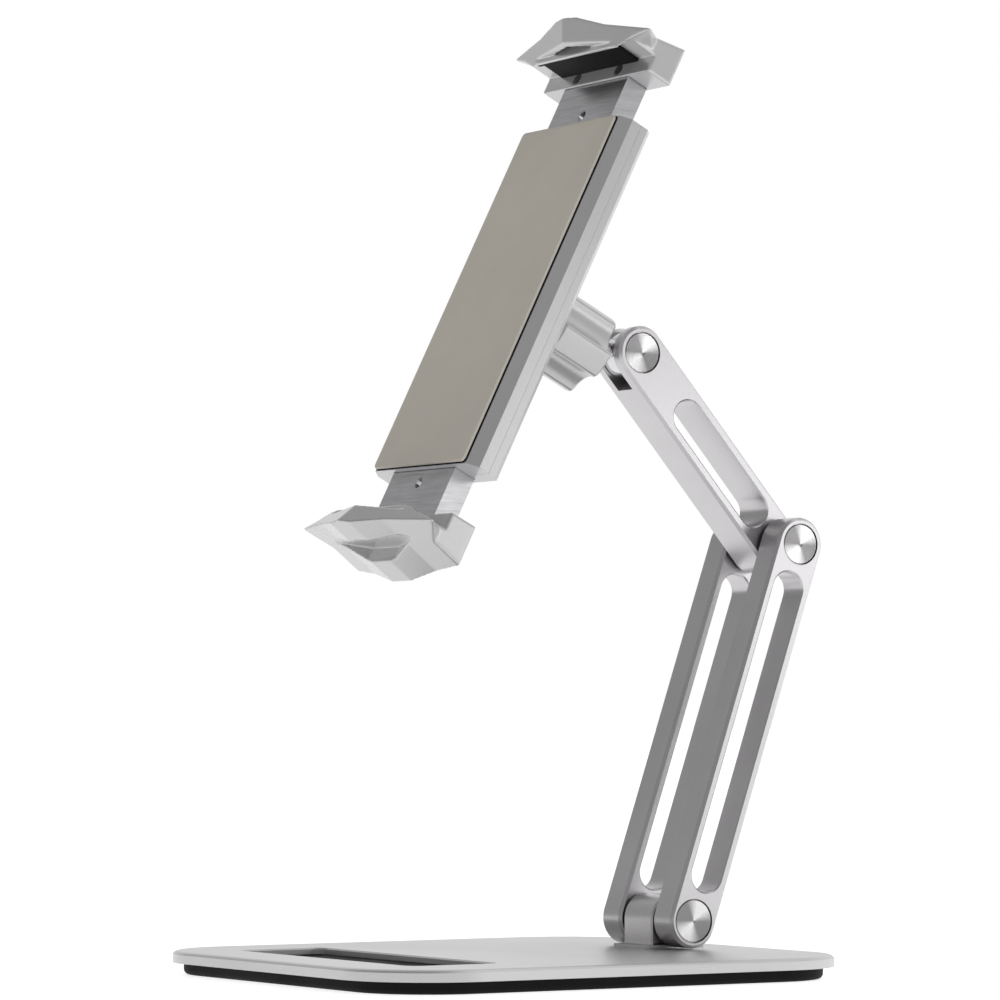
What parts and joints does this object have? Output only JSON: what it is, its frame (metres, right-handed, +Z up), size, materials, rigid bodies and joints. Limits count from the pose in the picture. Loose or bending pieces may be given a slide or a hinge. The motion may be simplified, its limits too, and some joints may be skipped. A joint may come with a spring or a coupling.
{
  "type": "tablet stand",
  "caption": "Folding desk stand: weighted base, two-plate lower arm, slotted upper arm and a sprung clamp on a ball joint that grips a tablet.",
  "frame": {"origin": "centre of the flat underside of the base pad, where the stand rests on the desk", "axes": "+X along the hinge axles, to the right of someone facing the clamp; +Y to the back of the stand; +Z up"},
  "size_m": [0.171, 0.2115, 0.3277],
  "materials": {
    "base_metal": "satin light silver paint",
    "arm_metal": "satin grey anodised, bright cut edges",
    "cap_metal": "spun bright, fine rings",
    "silver_plastic": "satin silver paint",
    "black_plastic": "matt black",
    "black_rubber": "matt black silicone",
    "grey_rubber": "matt warm grey silicone",
    "plain_steel": "zinc plated",
    "polished_steel": "polished",
    "brass_bush": "plain turned"
  },
  "bodies": {
    "base": {"base_plate": "base_metal", "tray_liner": "black_rubber", "base_pad": "black_rubber", "ballast_plate": "plain_steel", "ballast_screws": "plain_steel", "lug_screws": "plain_steel", "hinge_lug": "arm_metal", "base_hinge_bush": "brass_bush"},
    "lower_arm": {"lower_arm_right": "arm_metal", "lower_arm_left": "arm_metal", "base_hinge_bolt": "plain_steel", "base_hinge_nut": "plain_steel", "base_hinge_disc_spring": "plain_steel", "base_hinge_friction_washers": "black_plastic", "base_hinge_caps": "cap_metal", "elbow_bolt": "plain_steel", "elbow_nut": "plain_steel", "elbow_disc_spring": "plain_steel", "elbow_friction_washers": "black_plastic", "elbow_caps": "cap_metal"},
    "upper_arm": {"upper_arm": "arm_metal", "elbow_bush": "brass_bush", "head_hinge_bolt": "plain_steel", "head_hinge_nut": "plain_steel", "head_hinge_disc_spring": "plain_steel", "head_hinge_friction_washers": "black_plastic", "head_hinge_caps": "cap_metal"},
    "stud": {"ball_stud": "polished_steel", "head_hinge_bush": "brass_bush"},
    "cup": {"ball_cup": "black_plastic"},
    "clamp": {"housing_front": "silver_plastic", "housing_back": "silver_plastic", "housing_screws": "plain_steel", "front_pad": "grey_rubber", "pad_backing": "black_rubber", "pinion_pin": "plain_steel", "pinion_spring": "plain_steel"},
    "knob": {"locking_knob": "silver_plastic"},
    "top_claw": {"top_slide": "plain_steel", "top_rack": "black_plastic", "top_jaw": "silver_plastic", "top_jaw_rubber": "black_rubber", "top_jaw_screws": "plain_steel"},
    "bottom_claw": {"bottom_slide": "plain_steel", "bottom_rack": "black_plastic", "bottom_jaw": "silver_plastic", "bottom_jaw_rubber": "black_rubber", "bottom_jaw_screws": "plain_steel"},
    "pinion": {"pinion": "black_plastic"}
  },
  "joints": [
    {"name": "base_hinge", "type": "hinge", "parent": "base", "child": "lower_arm", "pos_m": [0, 0.0643, 0.0177], "axis": [1, 0, 0], "range_deg": [-12, 24]},
    {"name": "elbow_hinge", "type": "hinge", "parent": "lower_arm", "child": "upper_arm", "pos_m": [0, 0.10971, 0.14738], "axis": [1, 0, 0], "range_deg": [-50, 15]},
    {"name": "head_tilt", "type": "hinge", "parent": "upper_arm", "child": "stud", "pos_m": [0, 0.05236, 0.21266], "axis": [1, 0, 0], "range_deg": [-38, 15]},
    {"name": "ball_tilt", "type": "hinge", "parent": "stud", "child": "cup", "pos_m": [0, 0.02292, 0.21844], "axis": [1, 0, 0], "range_deg": [-1, 28]},
    {"name": "clamp_swivel", "type": "hinge", "parent": "cup", "child": "clamp", "pos_m": [0, 0.02292, 0.21844], "axis": [0, -0.891, 0.454], "continuous": true},
    {"name": "knob_turn", "type": "hinge", "parent": "clamp", "child": "knob", "pos_m": [0, 0.02648, 0.21662], "axis": [0, -0.891, 0.454], "range_deg": [-180, 180]},
    {"name": "jaw_slide", "type": "slide", "parent": "clamp", "child": "top_claw", "axis": [0, 0.454, 0.891], "range_m": [-0.017, 0.02], "stiffness_N_per_m": 150, "springref_m": -0.055},
    {"name": "bottom_jaw_slide", "type": "slide", "parent": "clamp", "child": "bottom_claw", "axis": [0, -0.454, -0.891], "range_m": [-0.017, 0.02]},
    {"name": "pinion_spin", "type": "hinge", "parent": "clamp", "child": "pinion", "pos_m": [0, 0.00421, 0.22797], "axis": [0, -0.891, 0.454], "range_deg": [-125, 145]}
  ],
  "couplings": [
    {"joint": "bottom_jaw_slide", "follows": "jaw_slide", "ratio": 1},
    {"joint": "pinion_spin", "follows": "jaw_slide", "rad_per_m": 125}
  ]
}
